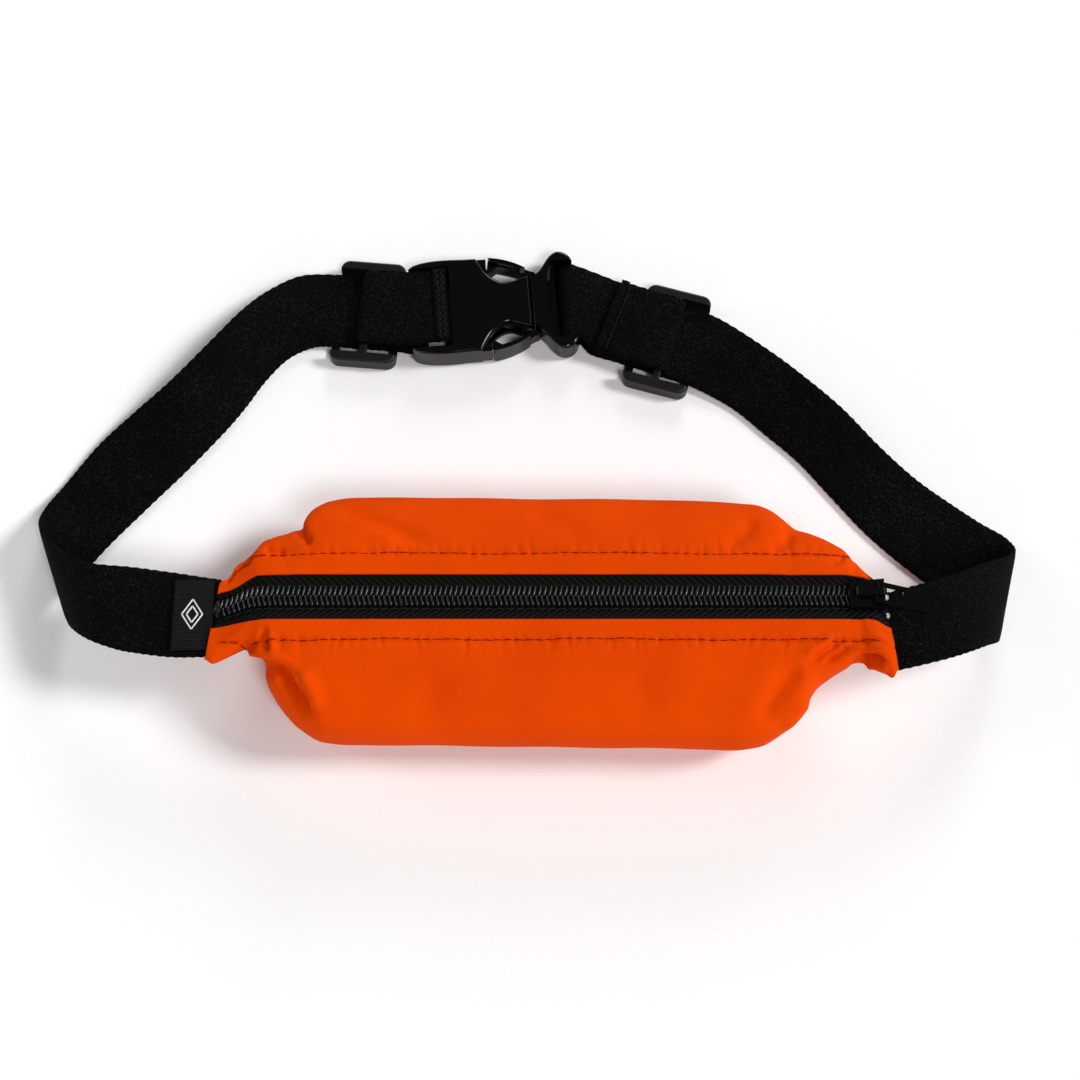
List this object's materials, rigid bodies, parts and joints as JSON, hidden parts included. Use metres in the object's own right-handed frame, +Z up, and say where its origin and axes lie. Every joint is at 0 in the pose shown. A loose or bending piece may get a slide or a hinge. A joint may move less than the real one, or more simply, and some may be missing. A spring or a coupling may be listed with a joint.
{
  "type": "waist pack",
  "caption": "Slim stretch waist pack laid flat: stuffed zip pouch on a folded elastic belt, with web adjusters and a side-release buckle.",
  "frame": {"origin": "middle of the pouch's flat base, on the surface that the pack lies on", "axes": "+X along the zipper towards the closed slider, +Y from the pouch to the buckle, +Z up"},
  "size_m": [0.2953, 0.1678, 0.0397],
  "materials": {
    "shell_fabric": "smooth stretch weave, matt sheen",
    "zipper_tape": "diagonal twill",
    "zipper_coil": "moulded coil, gloss",
    "zipper_stop": "crimped wire, bright",
    "slider_metal": "black lacquer, gloss",
    "pull_tab": "black lacquer, gloss",
    "webbing": "ribbed elastic knit, matt",
    "label_cloth": "fine woven, satin",
    "buckle_plastic": "moulded acetal, gloss",
    "prong_plastic": "moulded acetal, gloss",
    "adjuster_plastic": "moulded acetal, satin"
  },
  "bodies": {
    "root": {"pouch_shell": "shell_fabric", "upper_zipper_tape": "zipper_tape", "lower_zipper_tape": "zipper_tape", "upper_zipper_coil": "zipper_coil", "lower_zipper_coil": "zipper_coil", "zipper_bottom_stop": "zipper_stop", "zipper_top_stops": "zipper_stop", "side_label": "label_cloth", "left_strap": "webbing", "right_strap_run": "webbing", "buckle_female": "buckle_plastic"},
    "slider": {"slider_body": "slider_metal", "slider_bail": "slider_metal"},
    "tab": {"pull_tab": "pull_tab"},
    "male": {"buckle_male": "buckle_plastic", "right_strap_loop": "webbing"},
    "prong_upper": {"upper_prong": "prong_plastic"},
    "prong_lower": {"lower_prong": "prong_plastic"},
    "adjuster_left": {"left_adjuster": "adjuster_plastic", "left_strap_flap": "webbing"},
    "adjuster_right": {"right_adjuster": "adjuster_plastic", "right_strap_flap": "webbing"}
  },
  "joints": [
    {"name": "zipper_travel", "type": "slide", "parent": "root", "child": "slider", "axis": [1, 0, 0], "range_m": [-0.165, 0], "deforming": ["upper_zipper_coil", "lower_zipper_coil"]},
    {"name": "pull_tab_swing", "type": "hinge", "parent": "slider", "child": "tab", "pos_m": [0.0931, 0.001, 0.038], "axis": [-0.2079, -0.9781, 0], "range_deg": [0, 155]},
    {"name": "buckle_release", "type": "slide", "parent": "root", "child": "male", "axis": [0.9969, 0.0785, 0], "range_m": [0, 0.03], "deforming": ["upper_prong", "lower_prong", "right_strap_run"]},
    {"name": "upper_prong_squeeze", "type": "hinge", "parent": "male", "child": "prong_upper", "pos_m": [-0.00572, 0.12252, 0.0046], "axis": [0, 0, 1], "range_deg": [0, 5], "stiffness_Nm_per_rad": 0.8},
    {"name": "lower_prong_squeeze", "type": "hinge", "parent": "male", "child": "prong_lower", "pos_m": [-0.00412, 0.10218, 0.0046], "axis": [0, 0, 1], "range_deg": [-5, 0], "stiffness_Nm_per_rad": 0.8},
    {"name": "left_adjuster_slide", "type": "slide", "parent": "root", "child": "adjuster_left", "axis": [0.9962, -0.0872, 0], "range_m": [-0.01, 0], "deforming": ["left_strap", "left_strap_flap"]},
    {"name": "right_adjuster_slide", "type": "slide", "parent": "male", "child": "adjuster_right", "axis": [0.9367, -0.3502, 0], "range_m": [0, 0.01], "deforming": ["right_strap_run", "right_strap_flap"]}
  ],
  "couplings": [
    {"joint": "lower_prong_squeeze", "follows": "upper_prong_squeeze", "ratio": -1}
  ]
}
